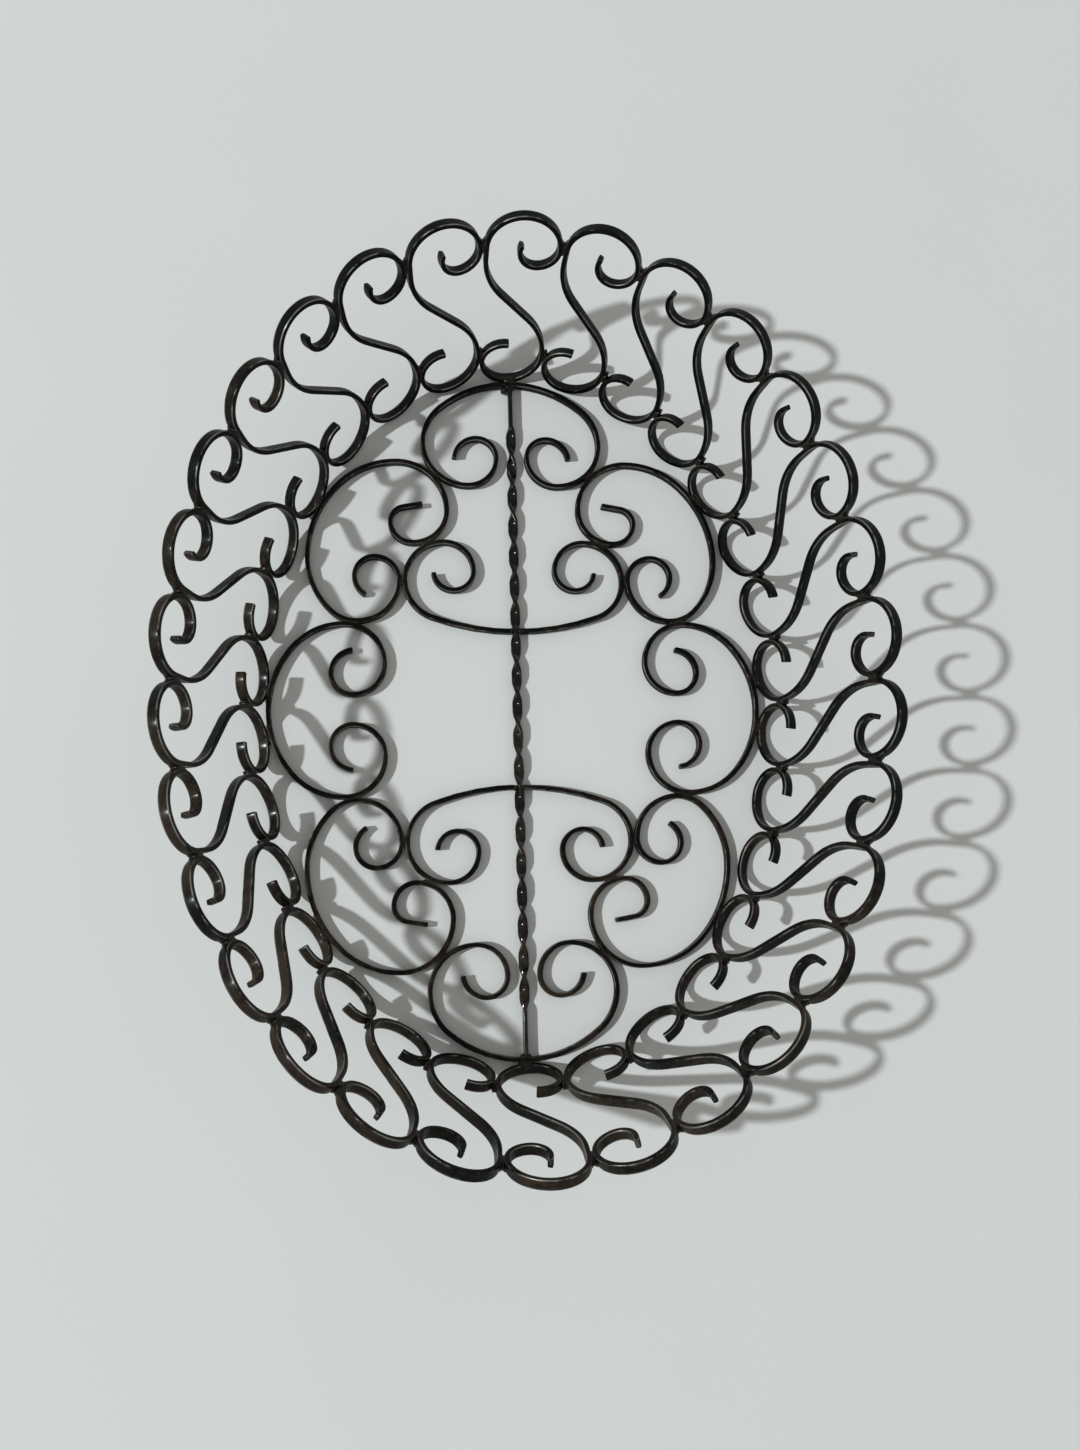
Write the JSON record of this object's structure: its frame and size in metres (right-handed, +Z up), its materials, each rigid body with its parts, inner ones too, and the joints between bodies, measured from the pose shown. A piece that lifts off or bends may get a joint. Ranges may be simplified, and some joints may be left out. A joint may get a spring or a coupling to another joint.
{
  "type": "openwork metal basket",
  "caption": "Oval openwork fruit basket of black flat iron bar: a sloping wall of S scrolls round a flat base of C scrolls with a twisted middle bar.",
  "frame": {"origin": "middle of the oval on the plane that the base scrolls rest on", "axes": "+X the short way, +Y the long way towards the far end, +Z up"},
  "size_m": [0.2666, 0.3486, 0.0794],
  "materials": {
    "wall_iron": "near-black semi-gloss blackened iron",
    "base_iron": "near-black semi-gloss blackened iron, slightly browner"
  },
  "bodies": {
    "root": {"wall_scroll_01": "wall_iron", "wall_scroll_02": "wall_iron", "wall_scroll_03": "wall_iron", "wall_scroll_04": "wall_iron", "wall_scroll_05": "wall_iron", "wall_scroll_06": "wall_iron", "wall_scroll_07": "wall_iron", "wall_scroll_08": "wall_iron", "wall_scroll_09": "wall_iron", "wall_scroll_10": "wall_iron", "wall_scroll_11": "wall_iron", "wall_scroll_12": "wall_iron", "wall_scroll_13": "wall_iron", "wall_scroll_14": "wall_iron", "wall_scroll_15": "wall_iron", "wall_scroll_16": "wall_iron", "wall_scroll_17": "wall_iron", "wall_scroll_18": "wall_iron", "wall_scroll_19": "wall_iron", "wall_scroll_20": "wall_iron", "wall_scroll_21": "wall_iron", "wall_scroll_22": "wall_iron", "wall_scroll_23": "wall_iron", "wall_scroll_24": "wall_iron", "wall_scroll_25": "wall_iron", "wall_scroll_26": "wall_iron", "wall_scroll_27": "wall_iron", "wall_scroll_28": "wall_iron", "wall_scroll_29": "wall_iron", "wall_scroll_30": "wall_iron", "far_end_scroll": "base_iron", "near_end_scroll": "base_iron", "left_side_scroll": "base_iron", "right_side_scroll": "base_iron", "far_left_corner_scroll": "base_iron", "far_right_corner_scroll": "base_iron", "near_left_corner_scroll": "base_iron", "near_right_corner_scroll": "base_iron", "far_left_inner_scroll": "base_iron", "far_right_inner_scroll": "base_iron", "near_left_inner_scroll": "base_iron", "near_right_inner_scroll": "base_iron", "twisted_bar": "base_iron"}
  },
  "joints": []
}
